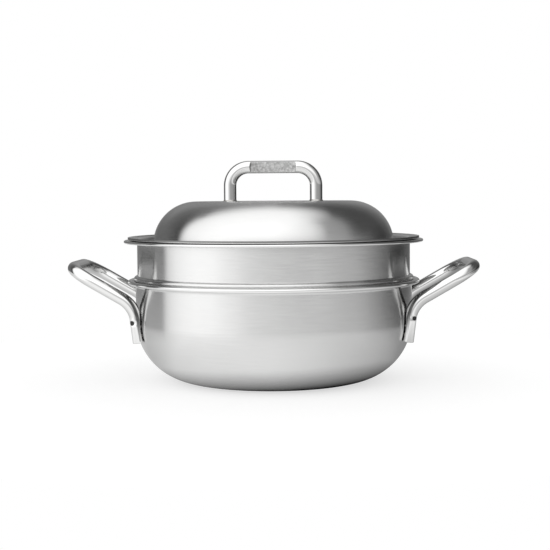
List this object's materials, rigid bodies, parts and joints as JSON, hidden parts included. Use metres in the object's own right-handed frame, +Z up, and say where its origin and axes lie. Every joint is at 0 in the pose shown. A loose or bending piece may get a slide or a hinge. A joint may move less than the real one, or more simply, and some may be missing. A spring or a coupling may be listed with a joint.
{
  "type": "multi-cooker pot",
  "caption": "Round stainless-steel pot with bent-rod side handles, a lift-out steamer insert seated in its rim and a domed lift-off lid with a bow handle.",
  "frame": {"origin": "on the pot's axis, at the bottom of its flat base", "axes": "+Z up along the pot's axis, +X towards the right-hand side handle, -Y towards the viewer of the picture"},
  "size_m": [0.3598, 0.2648, 0.1946],
  "materials": {
    "pot_steel": "fine turned brush lines round the axis",
    "liner_steel": "satin inside, polished rim",
    "insert_steel": "fine turned brush lines round the axis",
    "lid_steel": "fine turned brush lines round the axis",
    "rod_steel": "mirror polished stainless rod",
    "weld_steel": "weld metal",
    "core_aluminium": "bare, sealed inside"
  },
  "bodies": {
    "pot": {"pot_outer_skin": "pot_steel", "pot_heat_core": "core_aluminium", "pot_inner_liner": "liner_steel", "left_side_handle": "rod_steel", "right_side_handle": "rod_steel", "left_handle_welds": "weld_steel", "right_handle_welds": "weld_steel"},
    "insert": {"steamer_insert": "insert_steel"},
    "lid": {"lid_shell": "lid_steel", "lid_handle": "rod_steel", "lid_handle_welds": "weld_steel"}
  },
  "joints": [
    {"name": "insert_lift", "type": "slide", "parent": "pot", "child": "insert", "axis": [0, 0, 1], "range_m": [0, 0.12]},
    {"name": "lid_lift", "type": "slide", "parent": "insert", "child": "lid", "axis": [0, 0, 1], "range_m": [0, 0.1]}
  ]
}
